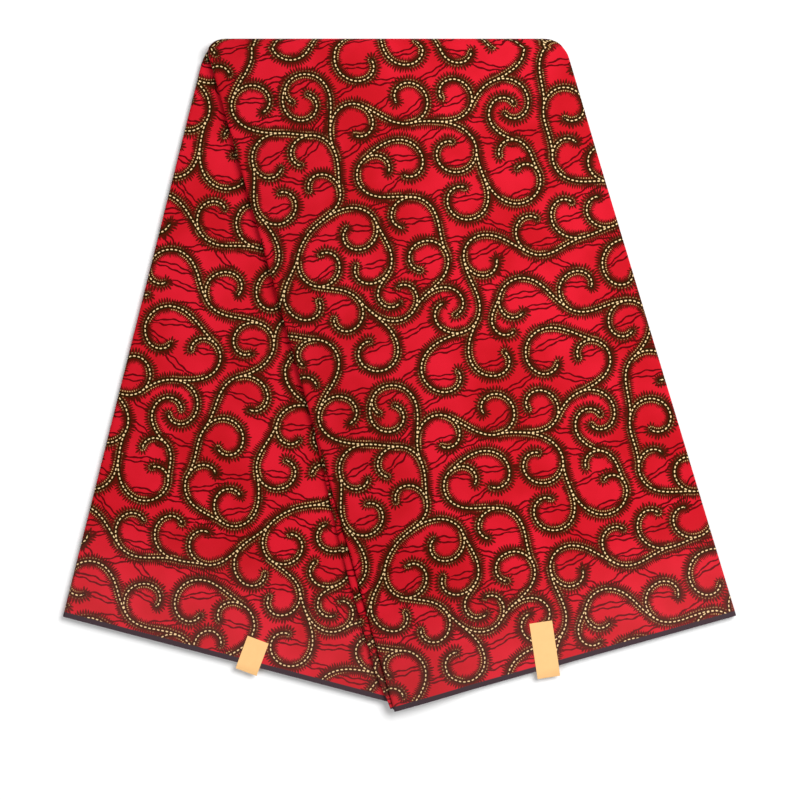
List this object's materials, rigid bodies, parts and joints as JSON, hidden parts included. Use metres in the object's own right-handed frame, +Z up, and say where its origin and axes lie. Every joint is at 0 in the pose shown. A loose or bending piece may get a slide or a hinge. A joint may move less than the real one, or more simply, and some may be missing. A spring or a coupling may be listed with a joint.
{
  "type": "folded length of african wax print cloth",
  "caption": "Length of printed cotton folded to a strip and laid in half as an upside-down V, with layered fold edges, dark selvedges and plain paper labels.",
  "frame": {"origin": "centre of the cloth's plan, at the surface it lies on", "axes": "+Z up from the surface, +Y towards the top fold, +X to the right seen from above with the top fold away"},
  "size_m": [0.6128, 0.6116, 0.017],
  "materials": {
    "printed_cotton": "plain-weave cotton with a red ground, dark brown scroll print, cream dashes and a faint wax gloss",
    "folded_layers": "edges of the same printed cotton, matt",
    "paper": "plain cream paper, matt"
  },
  "bodies": {
    "root": {"hidden_layers": "folded_layers", "front_panel": "printed_cotton", "back_panel": "printed_cotton", "front_label": "paper", "back_label": "paper"}
  },
  "joints": []
}
